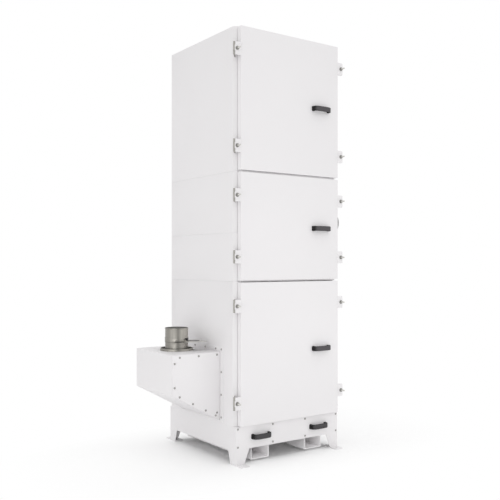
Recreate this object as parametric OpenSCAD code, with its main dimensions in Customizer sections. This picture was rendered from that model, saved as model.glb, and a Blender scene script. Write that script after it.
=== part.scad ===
// Free-standing filter tower of a central vacuum system: a folded plinth with
// fork pockets, four stacked casings, three doors and a side inlet with a slide gate.
// Millimetres. The origin is on the floor at the middle of the plinth, +Z is up,
// -Y is the door side and the inlet is on the -X side.

/* [Plinth] */
// Width and depth of the plinth
base_w = 800; // [700:10:1000]
base_d = 800; // [740:10:1000]
// Height of the plinth from the floor to the casings
base_h = 230; // [200:5:300]
// Thickness of the plinth's sheet
base_t = 4; // [3:0.5:6]
// Height of the arch in the front and rear panels
front_arch_h = 94; // [88:1:130]
// Height of the arch in the two side panels
side_arch_h = 80; // [60:2:120]
// Width of a leg at the floor, seen from the front
leg_front_w = 60; // [50:1:80]
// Width of a leg at the arch, seen from the front
leg_front_top_w = 96; // [85:1:130]
// Width of a leg at the floor, seen from the side
leg_side_w = 65; // [50:1:80]
// Width of a leg at the arch, seen from the side
leg_side_top_w = 88; // [80:1:130]
// Depth of the edge folded in along each arch
arch_fold = 20; // [12:1:30]
// Thickness of the foot plates
foot_t = 6; // [4:1:12]
// Reach of a foot plate beyond the plinth
foot_reach = 56; // [40:1:80]
// Radius of the anchor holes
anchor_r = 7; // [5:0.5:10]

/* [Fork pockets] */
// Clear width and height of a pocket
pocket_w = 125; // [120:1:160]
pocket_h = 74; // [60:1:76]
// Wall of a pocket
pocket_t = 5; // [3:0.5:6]
// Distance from the middle of the unit to the middle of a pocket
pocket_x = 210; // [190:1:230]
// Distance from the floor to the underside of a pocket
pocket_z = 16; // [8:1:20]
// Setback of a pocket's mouth behind the plinth's face
pocket_setback = 22; // [16:1:40]
// Distance from a pocket's mouth to the outer webs that hang it from the deck
web_setback = 76; // [40:2:150]

/* [Casings] */
// Setback of the casings behind the plinth's front and rear
case_setback = 18; // [0:1:40]
// Thickness of the casings' sheet
case_t = 3; // [2:0.5:5]
// Width of the bevelled front corners, measured along each face
corner_bevel = 20; // [14:1:30]
// Width of the folded door frame at each side
stile_w = 35; // [30:1:50]
// Height of the bottom casing
bottom_h = 868; // [780:2:1000]
// Height of the spacer casing
spacer_h = 290; // [240:2:360]
// Height of the filter casing
filter_h = 368; // [300:2:460]
// Height of the top casing
top_h = 866; // [780:2:1000]
// Joint line between two casings
seam_gap = 2; // [1:0.5:4]
// Width and thickness of the flanges inside each joint
flange_w = 35; // [25:1:50]
flange_t = 8; // [6:1:12]
// Height of the door frame above and below each joint
rail_h = 40; // [36:1:50]
// Depth of the door frame's rails
rail_d = 30; // [20:1:40]

/* [Doors] */
// Distance from the casing's side to the door's edge
door_inset = 17; // [12:1:20]
// Thickness of a door over its folded edge
door_t = 36; // [24:1:40]
// Thickness of a door's sheet
door_sheet = 2.5; // [1.5:0.5:4]
// Space between the door's back and the casing, filled by the seal
seal_d = 8; // [6:0.5:18]
// Width of the seal
seal_w = 15; // [10:1:18]
// Distance from the door's edge to the seal
seal_inset = 12; // [10:1:14]
// Gap between two doors, one above the other
door_gap = 12; // [10:1:20]
// Width of the edge folded in behind the door
door_return = 34; // [30:1:45]
// Distance from a door's top or bottom edge to the middle of its lugs
lug_inset = 140; // [110:5:170]
// Height, reach and thickness of a lug
lug_h = 78; // [60:2:90]
lug_reach = 42; // [36:1:46]
lug_t = 3; // [2:0.5:5]
// Radius of a right lug's outer corners
lug_round = 8; // [2:1:15]

/* [Hinges and clamps] */
// Outer radius of a hinge's barrel
barrel_r = 6; // [5:0.5:8]
// Radius of the hinge pin
pin_r = 3.5; // [2.5:0.5:4]
// Clearance round the hinge pin
pin_gap = 0.1; // [0.05:0.05:0.2]
// Height of the hinge's upper and lower knuckles
knuckle_h = 20; // [15:1:26]
// Clearance between knuckles
knuckle_gap = 1; // [0.5:0.5:2]
// Thickness of the hinge's arms
arm_t = 8; // [5:1:10]
// Depth of a clamp block
clamp_d = 16; // [12:1:18]
// Clearance between a clamp block and its lug
clamp_gap = 0.3; // [0.2:0.1:0.5]
// Clearance between a clamp block and the door's edge
clamp_clear = 6.5; // [6:0.5:8]
// Width of the clamp block's neck, and of its foot along each face of the corner
clamp_neck = 12; // [8:1:16]
clamp_foot = 8; // [6:1:10]

/* [Handles] */
// Length, height and reach of a bridge handle
grip_l = 134; // [110:2:150]
grip_h = 28; // [20:1:32]
grip_reach = 38; // [34:1:48]
// Thickness of the handle's grip, and width of its legs
grip_t = 13; // [10:1:16]
grip_leg = 18; // [14:1:24]
// Outer and inner radius of the bend between grip and leg
grip_corner = 14; // [8:1:20]
grip_hollow = 6; // [3:1:10]
// Distance from a door's right edge to the middle of its handle
handle_inset = 150; // [143:1:200]
// Distance from the middle to each handle on the plinth
base_handle_x = 227; // [180:1:240]
// Height of the plinth handles above the floor
base_handle_z = 162; // [140:1:180]

/* [Inlet] */
// Reach of the inlet box from the casing
inlet_l = 337; // [300:1:400]
// Width of the inlet box
inlet_w = 464; // [420:2:500]
// Offset of the inlet box behind the middle of the casing
inlet_y = 5; // [-20:1:30]
// Height of the inlet box's top
inlet_top_z = 665; // [600:5:700]
// Height of its sloping underside at the casing, and at its outer end
inlet_low_z = 242; // [240:1:300]
inlet_out_z = 425; // [380:5:450]
// Sheet of the inlet box and its bolted covers
inlet_t = 3; // [2:0.5:5]
// Width of the rim that each cover is bolted to
cover_rim = 42; // [30:1:60]
// Distance from a cover's edge to the edge of the box
cover_edge = 2; // [1:0.5:6]
// Distance from the edge of the box to the port in the casing behind it
port_inset = 17; // [10:1:30]
// Width of the flange on the casing, beside the box and below it
inlet_flange_w = 32; // [26:1:40]
inlet_flange_low_w = 8; // [4:1:10]

/* [Spigot and slide gate] */
// Distance from the casing to the middle of the spigot
spigot_x = 175; // [160:1:190]
// Outer radius and wall of the spigot
spigot_r = 71.5; // [55:0.5:80]
spigot_t = 3.5; // [2:0.5:5]
// Radius and thickness of the spigot's base ring
rim_r = 102; // [95:1:110]
rim_t = 18; // [8:1:20]
// Height of the spigot below the gate, and above it
lower_l = 35; // [25:1:60]
upper_l = 82; // [70:1:120]
// Height of the gate's slot
slot_h = 4; // [3:0.5:6]
// Thickness of the blade
blade_t = 2.5; // [1.5:0.5:2.5]
// Clearance round the blade inside the spigot
blade_gap = 0.5; // [0.3:0.1:1]
// Travel of the blade from closed to open
blade_travel = 100; // [80:5:110]
// Width of the blade's pull tab, and distance of its end from the spigot when open
tab_w = 60; // [40:2:70]
blade_reach = 190; // [180:2:200]
// Direction of the blade, turned forward from +X
blade_turn = -40; // [-60:5:-20]
// Width of the bead below the gate and of the band above it
bead_w = 2; // [1:0.5:3]
// Height of the bead, which is the ear's thickness too, and of the band
bead_h = 3; // [2:0.5:4]
band_h = 24; // [12:1:30]
// Direction of the clamping knob from the blade, and its distance from the spigot's middle
knob_turn = -31; // [-45:1:0]
knob_x = 84; // [84:1:90]
// Radius and height of the knob
knob_r = 9; // [6:0.5:12]
knob_h = 12; // [8:1:20]
// Radius and free length of the knob's stem
stem_r = 3; // [2:0.5:4]
stem_l = 6; // [3:1:10]
// Width of the ear that carries the knob
ear_w = 24; // [18:1:30]

/* [Gauge] */
// Radius and depth of the pressure gauge
gauge_r = 80; // [60:1:90]
gauge_d = 55; // [40:1:70]
// Radius of the gauge's body and depth of its bezel
gauge_body_r = 70; // [50:1:80]
bezel_d = 18; // [10:1:24]
// Height of the gauge and its setback behind the casing's front
gauge_z = 1474; // [1440:2:1520]
gauge_setback = 104; // [100:2:160]

/* [Hidden] */
$fn = 96;
eps = 1;
white = [0.93, 0.925, 0.93];
steel = [0.58, 0.57, 0.54];
black = [0.13, 0.13, 0.14];

// Levels of the joints between the casings
seam_1 = base_h + bottom_h;
seam_2 = seam_1 + spacer_h;
seam_3 = seam_2 + filter_h;
roof_z = seam_3 + top_h;
// Fork pockets
pocket_l = base_d / 2 - pocket_setback;
pocket_out_w = pocket_w / 2 + pocket_t;
pocket_top_z = pocket_z + pocket_h + 2 * pocket_t;
// Planes of the casing and the doors
side_x = base_w / 2;
front_y = case_setback - base_d / 2;
rear_y = -front_y;
door_w = 2 * (side_x - door_inset);
handle_x = door_w / 2 - handle_inset;
door_back_y = front_y - seal_d;
door_front_y = door_back_y - door_t;
frame_x = side_x - corner_bevel - stile_w;
// Lower and upper edge of each door
bottom_span = [base_h + door_gap / 2, seam_1 - door_gap / 2];
middle_span = [seam_1 + door_gap / 2, seam_3 - door_gap / 2];
top_span = [seam_3 + door_gap / 2, roof_z - door_gap / 2];
DOOR_SPANS = [bottom_span, middle_span, top_span];
// Hinge axis, at the outer end of the left lugs
lug_end_x = door_w / 2 + lug_reach;
lug_back_y = door_front_y + lug_t;
hinge_x = -(lug_end_x + barrel_r - lug_t);
hinge_y = lug_back_y + barrel_r - lug_t / 2;
knuckle_mid_h = lug_h - 2 * knuckle_h - 2 * knuckle_gap;
// Joint face of the bevelled corner that carries hinges and clamps
bevel_mid = [side_x - corner_bevel / 2, front_y + corner_bevel / 2];
// Inlet and spigot
inlet_out_x = -(side_x + inlet_l);
inlet_slope = (inlet_out_z - inlet_low_z) / inlet_l;
inlet_slope_t = inlet_t * sqrt(1 + inlet_slope * inlet_slope);
spigot_pos = [-(side_x + spigot_x), inlet_y];
spigot_bore_r = spigot_r - spigot_t;
slot_z = inlet_top_z + rim_t + lower_l;
blade_r = spigot_bore_r - blade_gap;
// Plan of the wall opening behind the inlet box
port_w = inlet_w - 2 * port_inset;
port_z = [inlet_low_z + port_inset, inlet_top_z - port_inset];

// Plate in the XZ plane from y0 towards +Y
module plate_xz(y0, t) {
    translate([0, y0 + t, 0]) rotate([90, 0, 0]) linear_extrude(t) children();
}

// Plate in the YZ plane from x0 towards +X
module plate_yz(x0, t) {
    translate([x0, 0, 0]) rotate([90, 0, 90]) linear_extrude(t) children();
}

// Box between two corners
module block(low, high) {
    translate(low) cube(high - low);
}

// Outline of a plinth panel with two tapered legs and an arch between them
module arched_outline(w, arch_h, leg_w, leg_top_w) {
    h = w / 2;
    polygon([[-h, foot_t], [-h + leg_w, foot_t], [-h + leg_top_w, arch_h], [h - leg_top_w, arch_h],
             [h - leg_w, foot_t], [h, foot_t], [h, base_h], [-h, base_h]]);
}

module front_base_panel() {
    color(white) {
        plate_xz(-base_d / 2, base_t) arched_outline(base_w, front_arch_h, leg_front_w, leg_front_top_w);
        block([-base_w / 2 + leg_front_top_w, -base_d / 2, front_arch_h],
              [base_w / 2 - leg_front_top_w, -base_d / 2 + arch_fold, front_arch_h + base_t]);
    }
}

module left_base_panel() {
    inner_d = base_d - 2 * base_t;
    color(white) {
        plate_yz(-base_w / 2, base_t)
            arched_outline(inner_d, side_arch_h, leg_side_w - base_t, leg_side_top_w - base_t);
        block([-base_w / 2, -base_d / 2 + leg_side_top_w, side_arch_h],
              [-base_w / 2 + arch_fold, base_d / 2 - leg_side_top_w, side_arch_h + base_t]);
    }
}

// Deck with the webs below it that hang the two fork pockets
module base_deck() {
    web_y = pocket_l - web_setback;
    color(white) {
        block([-base_w / 2 + base_t, -base_d / 2 + base_t, base_h - base_t],
              [base_w / 2 - base_t, base_d / 2 - base_t, base_h]);
        for (s = [-1, 1], y = [-web_y, 0, web_y])
            block([s * pocket_x - pocket_out_w, y - pocket_t / 2, pocket_top_z],
                  [s * pocket_x + pocket_out_w, y + pocket_t / 2, base_h - base_t]);
    }
}

module fork_tunnel() {
    difference() {
        block([-pocket_out_w, -pocket_l, pocket_z], [pocket_out_w, pocket_l, pocket_top_z]);
        block([-pocket_w / 2, -pocket_l - eps, pocket_z + pocket_t],
              [pocket_w / 2, pocket_l + eps, pocket_top_z - pocket_t]);
    }
}

module fork_tunnels() {
    color(white)
        for (s = [-1, 1]) translate([s * pocket_x, 0, 0]) fork_tunnel();
}

module foot_plate() {
    difference() {
        block([base_w / 2 - leg_front_w, base_d / 2 - leg_side_w, 0],
              [base_w / 2, base_d / 2 + foot_reach, foot_t]);
        translate([base_w / 2 - leg_front_w / 2, base_d / 2 + foot_reach / 2, -eps])
            cylinder(r = anchor_r, h = foot_t + 2 * eps);
    }
}

module foot_plates() {
    color(white)
        for (a = [0, 1], b = [0, 1]) mirror([a, 0, 0]) mirror([0, b, 0]) foot_plate();
}

// Plan of a bridge with two round outer corners
module bridge_outline(l, reach, corner) {
    for (s = [-1, 1]) translate([s * (l / 2 - corner), corner - reach]) circle(r = corner);
    translate([corner - l / 2, -reach]) square([l - 2 * corner, reach]);
    translate([-l / 2, corner - reach]) square([l, reach - corner]);
}

// Bridge handle on the plane y = 0, reaching towards -Y
module bridge_handle() {
    color(black)
        translate([0, 0, -grip_h / 2])
        linear_extrude(grip_h)
        difference() {
            bridge_outline(grip_l, grip_reach, grip_corner);
            translate([0, eps])
                bridge_outline(grip_l - 2 * grip_leg, grip_reach - grip_t + eps, grip_hollow);
        }
}

module base_handles() {
    for (s = [-1, 1]) translate([s * base_handle_x, -base_d / 2, base_handle_z]) bridge_handle();
}

// Plan of a folded side wall with its bevelled corner and door stile, on the +X side
module side_wall_plan() {
    k = case_t * tan(22.5);
    xi = side_x - case_t;
    yi = front_y + case_t;
    polygon([[side_x, rear_y - case_t], [side_x, front_y + corner_bevel],
             [side_x - corner_bevel, front_y], [frame_x, front_y],
             [frame_x, front_y + corner_bevel], [frame_x + case_t, front_y + corner_bevel],
             [frame_x + case_t, yi], [side_x - corner_bevel - k, yi], [xi, front_y + corner_bevel + k],
             [xi, rear_y - case_t]]);
}

module side_wall(z0, z1) {
    color(white)
        translate([0, 0, z0]) linear_extrude(z1 - z0) side_wall_plan();
}

// Lower and upper edge of each casing's walls, with the joint lines left open
bottom_walls = [base_h, seam_1 - seam_gap / 2];
spacer_walls = [seam_1 + seam_gap / 2, seam_2 - seam_gap / 2];
filter_walls = [seam_2 + seam_gap / 2, seam_3 - seam_gap / 2];
top_walls = [seam_3 + seam_gap / 2, roof_z - case_t];

module right_wall(span) {
    side_wall(span[0], span[1]);
}

module left_wall(span) {
    mirror([1, 0, 0]) side_wall(span[0], span[1]);
}

module bottom_left_wall() {
    difference() {
        left_wall(bottom_walls);
        color(white)
            block([-side_x - eps, inlet_y - port_w / 2, port_z[0]],
                  [-side_x + case_t + eps, inlet_y + port_w / 2, port_z[1]]);
    }
}

module rear_wall() {
    color(white)
        difference() {
            block([-side_x, rear_y - case_t, base_h], [side_x, rear_y, roof_z - case_t]);
            for (z = [seam_1, seam_2, seam_3])
                block([-side_x - eps, rear_y - case_t / 3, z - seam_gap / 2],
                      [side_x + eps, rear_y + eps, z + seam_gap / 2]);
        }
}

// Ring of bolted flanges inside a joint
module flange_ring(z) {
    xo = side_x - case_t;
    yo = rear_y - case_t;
    yf = front_y + corner_bevel + case_t;
    difference() {
        block([-xo, yf, z - flange_t / 2], [xo, yo, z + flange_t / 2]);
        block([-xo + flange_w, yf + flange_w, z - flange_t], [xo - flange_w, yo - flange_w, z + flange_t]);
    }
}

module front_rail(z0, z1) {
    block([-frame_x, front_y, z0], [frame_x, front_y + rail_d, z1]);
}

module door_joint_frame(z) {
    color(white) {
        flange_ring(z);
        front_rail(z - rail_h, z + rail_h);
    }
}

module middle_joint_frame() {
    color(white) flange_ring(seam_2);
}

module sill_rail() {
    color(white) front_rail(base_h, base_h + rail_h);
}

module head_rail() {
    color(white) front_rail(roof_z - case_t - rail_h, roof_z - case_t);
}

module roof() {
    color(white)
        translate([0, 0, roof_z - case_t]) linear_extrude(case_t)
        polygon([[-side_x, rear_y], [-side_x, front_y + corner_bevel], [-side_x + corner_bevel, front_y],
                 [side_x - corner_bevel, front_y], [side_x, front_y + corner_bevel], [side_x, rear_y]]);
}

// Door folded from one sheet, with its edge turned in behind
module door_pan(span) {
    h = door_w / 2;
    r = door_return;
    s = door_sheet;
    color(white)
        difference() {
            block([-h, door_front_y, span[0]], [h, door_back_y, span[1]]);
            block([-h + s, door_front_y + s, span[0] + s], [h - s, door_back_y - s, span[1] - s]);
            block([-h + r, door_back_y - 2 * s, span[0] + r], [h - r, door_back_y + eps, span[1] - r]);
        }
}

module door_seal(span) {
    xo = door_w / 2 - seal_inset;
    xi = xo - seal_w;
    color(black)
        difference() {
            block([-xo, door_back_y, span[0] + seal_inset],
                  [xo, front_y - clamp_gap, span[1] - seal_inset]);
            block([-xi, door_back_y - eps, span[0] + seal_inset + seal_w],
                  [xi, front_y + eps, span[1] - seal_inset - seal_w]);
        }
}

module door_handle(span) {
    translate([handle_x, door_front_y, (span[0] + span[1]) / 2]) bridge_handle();
}

// Levels of a door's lower and upper lugs
function lug_levels(span) = [span[0] + lug_inset, span[1] - lug_inset];

// Left lug with the middle knuckle of its hinge, cut clear of the two outer knuckles
module hinge_lug(z) {
    color(white)
        difference() {
            union() {
                block([-lug_end_x, door_front_y, z - lug_h / 2],
                      [-door_w / 2, lug_back_y, z + lug_h / 2]);
                translate([hinge_x, hinge_y, z - knuckle_mid_h / 2])
                    cylinder(r = barrel_r, h = knuckle_mid_h);
                block([hinge_x, door_front_y, z - knuckle_mid_h / 2],
                      [-lug_end_x + lug_t, lug_back_y, z + knuckle_mid_h / 2]);
            }
            translate([hinge_x, hinge_y, z - knuckle_mid_h / 2 - eps])
                cylinder(r = pin_r + pin_gap, h = knuckle_mid_h + 2 * eps);
            for (z0 = [z - lug_h / 2 - eps, z + knuckle_mid_h / 2])
                translate([hinge_x, hinge_y, z0])
                    cylinder(r = barrel_r + knuckle_gap, h = knuckle_h + knuckle_gap + eps);
        }
}

// Right lug, a plate with round outer corners
module clamp_lug(z) {
    color(white)
        plate_xz(door_front_y, lug_t)
        translate([door_w / 2, z - lug_h / 2]) {
            square([lug_reach - lug_round, lug_h]);
            translate([0, lug_round]) square([lug_reach, lug_h - 2 * lug_round]);
            for (h = [lug_round, lug_h - lug_round])
                translate([lug_reach - lug_round, h]) circle(r = lug_round);
        }
}

module door_lugs(span) {
    for (z = lug_levels(span)) {
        hinge_lug(z);
        clamp_lug(z);
    }
}

// Pin with the upper and lower knuckles and the arms that stand on the bevelled corner
module hinge_bracket(z) {
    color(steel) {
        translate([hinge_x, hinge_y, z - lug_h / 2]) cylinder(r = pin_r, h = lug_h);
        for (s = [-1, 1])
            translate([0, 0, z + s * (lug_h - knuckle_h) / 2 - knuckle_h / 2]) {
                translate([hinge_x, hinge_y, 0]) cylinder(r = barrel_r, h = knuckle_h);
                hinge_arm();
            }
    }
}

module hinge_arm() {
    turn = atan2(bevel_mid[1] - hinge_y, -bevel_mid[0] - hinge_x);
    half = arm_t / 2;
    foot = half * cos(45);
    linear_extrude(knuckle_h)
        polygon([[hinge_x + half * sin(turn), hinge_y - half * cos(turn)],
                 [-bevel_mid[0] + foot, bevel_mid[1] - foot], [-bevel_mid[0] - foot, bevel_mid[1] + foot],
                 [hinge_x - half * sin(turn), hinge_y + half * cos(turn)]]);
}

module hinge_brackets() {
    for (span = DOOR_SPANS, z = lug_levels(span)) hinge_bracket(z);
}

// Block that a right lug is clamped against, standing on the bevelled corner
module clamp_block(z) {
    y0 = lug_back_y + clamp_gap;
    y1 = y0 + clamp_d;
    x0 = door_w / 2 + clamp_clear;
    foot = clamp_foot / 2;
    color(white)
        translate([0, 0, z - lug_h / 2]) linear_extrude(lug_h)
        polygon([[x0, y0], [lug_end_x, y0], [lug_end_x, y1], [x0 + clamp_neck, y1],
                 [bevel_mid[0] + foot, bevel_mid[1] + foot], [bevel_mid[0] - foot, bevel_mid[1] - foot],
                 [x0, y1]]);
}

module clamp_blocks() {
    for (span = DOOR_SPANS, z = lug_levels(span)) clamp_block(z);
}

// Side outline of the inlet box in the XZ plane, with its sloping underside. It lies inset
// from the box's faces and runs past the casing's side by the second value.
module inlet_outline(inset, past = 0) {
    low = inlet_low_z + inset * sqrt(1 + inlet_slope * inlet_slope);
    polygon([[inlet_out_x + inset, low + inlet_slope * (inlet_l - inset)],
             [inlet_out_x + inset, inlet_top_z - inset], [-side_x + past, inlet_top_z - inset],
             [-side_x + past, low - inlet_slope * past]]);
}

module inlet_box() {
    y0 = inlet_y - inlet_w / 2 + inlet_t;
    w = inlet_w - 2 * inlet_t;
    color(white)
        difference() {
            plate_xz(y0, w) inlet_outline(0);
            plate_xz(y0 + inlet_t, w - 2 * inlet_t) inlet_outline(inlet_t, eps);
            plate_xz(y0 - eps, w + 2 * eps)
                difference() {
                    inlet_outline(cover_rim);
                    translate([-side_x - cover_rim, 0]) square([2 * cover_rim, inlet_top_z]);
                }
            translate([spigot_pos[0], spigot_pos[1], inlet_top_z - inlet_t - eps])
                cylinder(r = spigot_bore_r, h = inlet_t + 2 * eps);
        }
}

module inlet_covers() {
    flange_x = -side_x - inlet_t;
    color(white)
        for (y = [inlet_y - inlet_w / 2, inlet_y + inlet_w / 2 - inlet_t])
            plate_xz(y, inlet_t)
                difference() {
                    inlet_outline(cover_edge);
                    translate([flange_x, 0]) square([-side_x + eps - flange_x, inlet_top_z]);
                }
}

module inlet_flange() {
    w = inlet_w / 2 + inlet_flange_w;
    color(white)
        difference() {
            block([-side_x - inlet_t, inlet_y - w, inlet_low_z - inlet_flange_low_w],
                  [-side_x, inlet_y + w, inlet_top_z + inlet_flange_w]);
            plate_xz(inlet_y - inlet_w / 2, inlet_w) inlet_outline(0, eps);
        }
}

module at_spigot(z) {
    translate([spigot_pos[0], spigot_pos[1], z]) rotate([0, 0, blade_turn]) children();
}

module tube(r, h) {
    difference() {
        cylinder(r = r, h = h);
        translate([0, 0, -eps]) cylinder(r = spigot_bore_r, h = h + 2 * eps);
    }
}

module spigot_collar() {
    color(steel)
        at_spigot(inlet_top_z) {
            tube(rim_r, rim_t);
            tube(spigot_r, rim_t + lower_l);
            translate([0, 0, rim_t + lower_l - bead_h]) tube(spigot_r + bead_w, bead_h);
        }
}

// Upper spigot with its band, the half ring that closes the back of the gate's slot, and
// the ear that carries the clamping knob
module gate_ring() {
    color(steel)
        at_spigot(slot_z) {
            difference() {
                tube(spigot_r + bead_w, slot_h);
                translate([0, -spigot_r * 2, -eps]) cube([spigot_r * 2, spigot_r * 4, slot_h + 2 * eps]);
            }
            translate([0, 0, slot_h]) tube(spigot_r, upper_l);
            translate([0, 0, slot_h]) tube(spigot_r + bead_w, band_h);
            rotate([0, 0, knob_turn])
                difference() {
                    union() {
                        translate([0, -ear_w / 2, slot_h]) cube([knob_x, ear_w, bead_h]);
                        translate([knob_x, 0, slot_h]) cylinder(r = ear_w / 2, h = bead_h);
                    }
                    translate([0, 0, slot_h - eps]) cylinder(r = spigot_bore_r, h = bead_h + 2 * eps);
                }
        }
}

// Blade as far out as the gate opens: the disc that shuts the bore, and its pull tab
module gate_blade() {
    color(steel)
        at_spigot(slot_z + (slot_h - blade_t) / 2)
        linear_extrude(blade_t)
        translate([blade_travel, 0])
        union() {
            circle(r = blade_r);
            translate([0, -tab_w / 2]) square([blade_reach - blade_travel, tab_w]);
        }
}

module gate_knob() {
    color(black)
        at_spigot(slot_z + slot_h + bead_h)
        rotate([0, 0, knob_turn]) translate([knob_x, 0, 0]) {
            cylinder(r = stem_r, h = stem_l);
            translate([0, 0, stem_l]) cylinder(r1 = knob_r / 2, r2 = knob_r, h = knob_h);
        }
}

module pressure_gauge() {
    body_d = gauge_d - bezel_d;
    color(steel)
        translate([side_x, front_y + gauge_setback, gauge_z]) rotate([0, 90, 0]) {
            cylinder(r = gauge_body_r, h = body_d);
            translate([0, 0, body_d]) cylinder(r = gauge_r, h = bezel_d);
        }
}

front_base_panel();  // base_front_panel
mirror([0, 1, 0]) front_base_panel();  // base_rear_panel
left_base_panel();  // base_left_panel
mirror([1, 0, 0]) left_base_panel();  // base_right_panel
base_deck();
fork_tunnels();
foot_plates();
base_handles();
bottom_left_wall();
left_wall(spacer_walls);  // spacer_left_wall
left_wall(filter_walls);  // filter_left_wall
left_wall(top_walls);  // top_left_wall
right_wall(bottom_walls);  // bottom_right_wall
right_wall(spacer_walls);  // spacer_right_wall
right_wall(filter_walls);  // filter_right_wall
right_wall(top_walls);  // top_right_wall
rear_wall();
door_joint_frame(seam_1);  // low_joint_frame
middle_joint_frame();
door_joint_frame(seam_3);  // high_joint_frame
sill_rail();
head_rail();
roof();
door_pan(bottom_span);  // bottom_door
door_seal(bottom_span);  // bottom_seal
door_handle(bottom_span);  // bottom_handle
door_lugs(bottom_span);  // bottom_lugs
door_pan(middle_span);  // middle_door
door_seal(middle_span);  // middle_seal
door_handle(middle_span);  // middle_handle
door_lugs(middle_span);  // middle_lugs
door_pan(top_span);  // top_door
door_seal(top_span);  // top_seal
door_handle(top_span);  // top_handle
door_lugs(top_span);  // top_lugs
hinge_brackets();
clamp_blocks();
inlet_box();
inlet_covers();
inlet_flange();
spigot_collar();
gate_ring();
gate_blade();
gate_knob();
pressure_gauge();
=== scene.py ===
import bmesh
import bpy
import numpy as np
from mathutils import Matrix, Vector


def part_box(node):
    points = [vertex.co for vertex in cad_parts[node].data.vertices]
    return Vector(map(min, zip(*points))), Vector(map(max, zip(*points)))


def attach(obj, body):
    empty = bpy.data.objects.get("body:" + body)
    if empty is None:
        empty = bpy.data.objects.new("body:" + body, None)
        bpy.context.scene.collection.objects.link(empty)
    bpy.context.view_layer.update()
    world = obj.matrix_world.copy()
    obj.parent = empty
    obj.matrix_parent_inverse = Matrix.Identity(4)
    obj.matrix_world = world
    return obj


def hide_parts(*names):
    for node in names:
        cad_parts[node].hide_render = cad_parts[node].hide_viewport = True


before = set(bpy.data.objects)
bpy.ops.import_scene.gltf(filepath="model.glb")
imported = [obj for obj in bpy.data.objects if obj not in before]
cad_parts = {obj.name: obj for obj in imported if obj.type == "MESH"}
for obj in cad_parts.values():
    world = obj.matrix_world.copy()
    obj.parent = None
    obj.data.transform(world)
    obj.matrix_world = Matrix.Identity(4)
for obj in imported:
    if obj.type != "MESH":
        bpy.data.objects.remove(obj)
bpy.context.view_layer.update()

MM = 0.001

# Camera. The photograph was fitted to the plinth, the doors and the joints: a level camera
# at 1.21 m, turned 35 degrees to the right of +Y, with a small rise of the lens.
PHOTO_PX = 500
FOCAL_PX = 725.06
HORIZON_PX = 262.27
CAMERA_AT = (-2.818, -3.959, 1.212)
CAMERA_TURN = np.radians(35.28)
SENSOR_MM = 36.0
lens = bpy.data.cameras.new("camera")
lens.sensor_width = SENSOR_MM
lens.lens = SENSOR_MM * FOCAL_PX / PHOTO_PX
lens.shift_y = (HORIZON_PX - PHOTO_PX / 2) / PHOTO_PX
camera = bpy.data.objects.new("camera", lens)
camera.location = CAMERA_AT
camera.rotation_euler = (np.radians(90), 0, -CAMERA_TURN)
bpy.context.scene.collection.objects.link(camera)
bpy.context.scene.camera = camera
bpy.context.scene.view_settings.view_transform = "Standard"


# Studio. A pale seamless floor that the camera sees mixed with a glowing white, more of it
# the further from the plinth and more slowly at the sides than in front: painted light that
# cuts the floor's shadow short. White air all round, three wide soft lamps high up and three
# low softboxes that face the front, the left side and the corner between them, so the unit
# gets a little brighter downwards.
FLOOR_R = 9.0
FLOOR_Z = -0.3 * MM
FLOOR_WHITE = 0.98
SHADOW_WIDTH = 0.45
SHADOW_RISE = 0.5
SHADOW_INSET = (0.04, 0.05, 0)
SIDE_STRETCH = 0.38
SKY_LEVEL = 0.85
LAMPS = (("top_lamp", "SUN", 0.2, (0, 0, 4), (0, 0, 0), 60),
         ("door_lamp", "SUN", 0.13, (0, 0, 4), (58, 0, 12), 50),
         ("side_lamp", "SUN", 0.02, (0, 0, 4), (72, 0, -75), 60),
         ("front_softbox", "AREA", 4, (1.6, -2.6, 0.9), (90, 0, 36), 1.5),
         ("side_softbox", "AREA", 5, (-3.3, -1.6, 0.5), (90, 0, -63), 1.5),
         ("corner_softbox", "AREA", 7, (-3.0, -2.6, 0.4), (90, 0, -48), 1.0))


def seen_directly(nodes, link):
    """Light path factor that is 1 for what the camera sees, straight, mirrored or through
    glass, and 0 for light that falls on the unit."""
    path = nodes.new("ShaderNodeLightPath")
    total = path.outputs["Is Camera Ray"]
    for ray in ("Is Glossy Ray", "Is Transmission Ray"):
        either = nodes.new("ShaderNodeMath")
        either.operation = "MAXIMUM"
        link(total, either.inputs[0])
        link(path.outputs[ray], either.inputs[1])
        total = either.outputs["Value"]
    return total


world = bpy.data.worlds.new("white_air")
world.use_nodes = True
bpy.context.scene.world = world
air, air_link = world.node_tree.nodes, world.node_tree.links.new
sky = air["Background"]
sky.inputs["Color"].default_value = (1, 1, 1, 1)
sky_level = air.new("ShaderNodeMapRange")
sky_level.inputs["To Min"].default_value = SKY_LEVEL
air_link(seen_directly(air, air_link), sky_level.inputs["Value"])
air_link(sky_level.outputs["Result"], sky.inputs["Strength"])
for lamp_name, kind, power, at, turn, width in LAMPS:
    lamp = bpy.data.lights.new(lamp_name, kind)
    lamp.energy = power
    if kind == "SUN":
        lamp.angle = np.radians(width)
    else:
        lamp.size = width
    stand = bpy.data.objects.new(lamp_name, lamp)
    stand.location = at
    stand.rotation_euler = [np.radians(a) for a in turn]
    bpy.context.scene.collection.objects.link(stand)


def floor_grid(rings=12, spokes=64):
    """Disc in polar steps: x and y are the radius times the cosine and sine of the angle,
    and the radius grows as the square of the ring's number."""
    radius = FLOOR_R * np.linspace(0.02, 1, rings)[:, None] ** 2
    angle = np.linspace(0, 2 * np.pi, spokes, endpoint=False)[None, :]
    return np.stack([radius * np.cos(angle), radius * np.sin(angle), FLOOR_Z + 0 * radius * angle], axis=-1)


def grid_faces(rows, columns):
    """Quads of a grid whose columns close on themselves, as an array of four indices."""
    i = np.arange(rows - 1)[:, None] * columns
    j = np.arange(columns)[None, :]
    k = (j + 1) % columns
    return np.stack([i + j, i + k, i + columns + k, i + columns + j], axis=-1).reshape(-1, 4)


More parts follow.
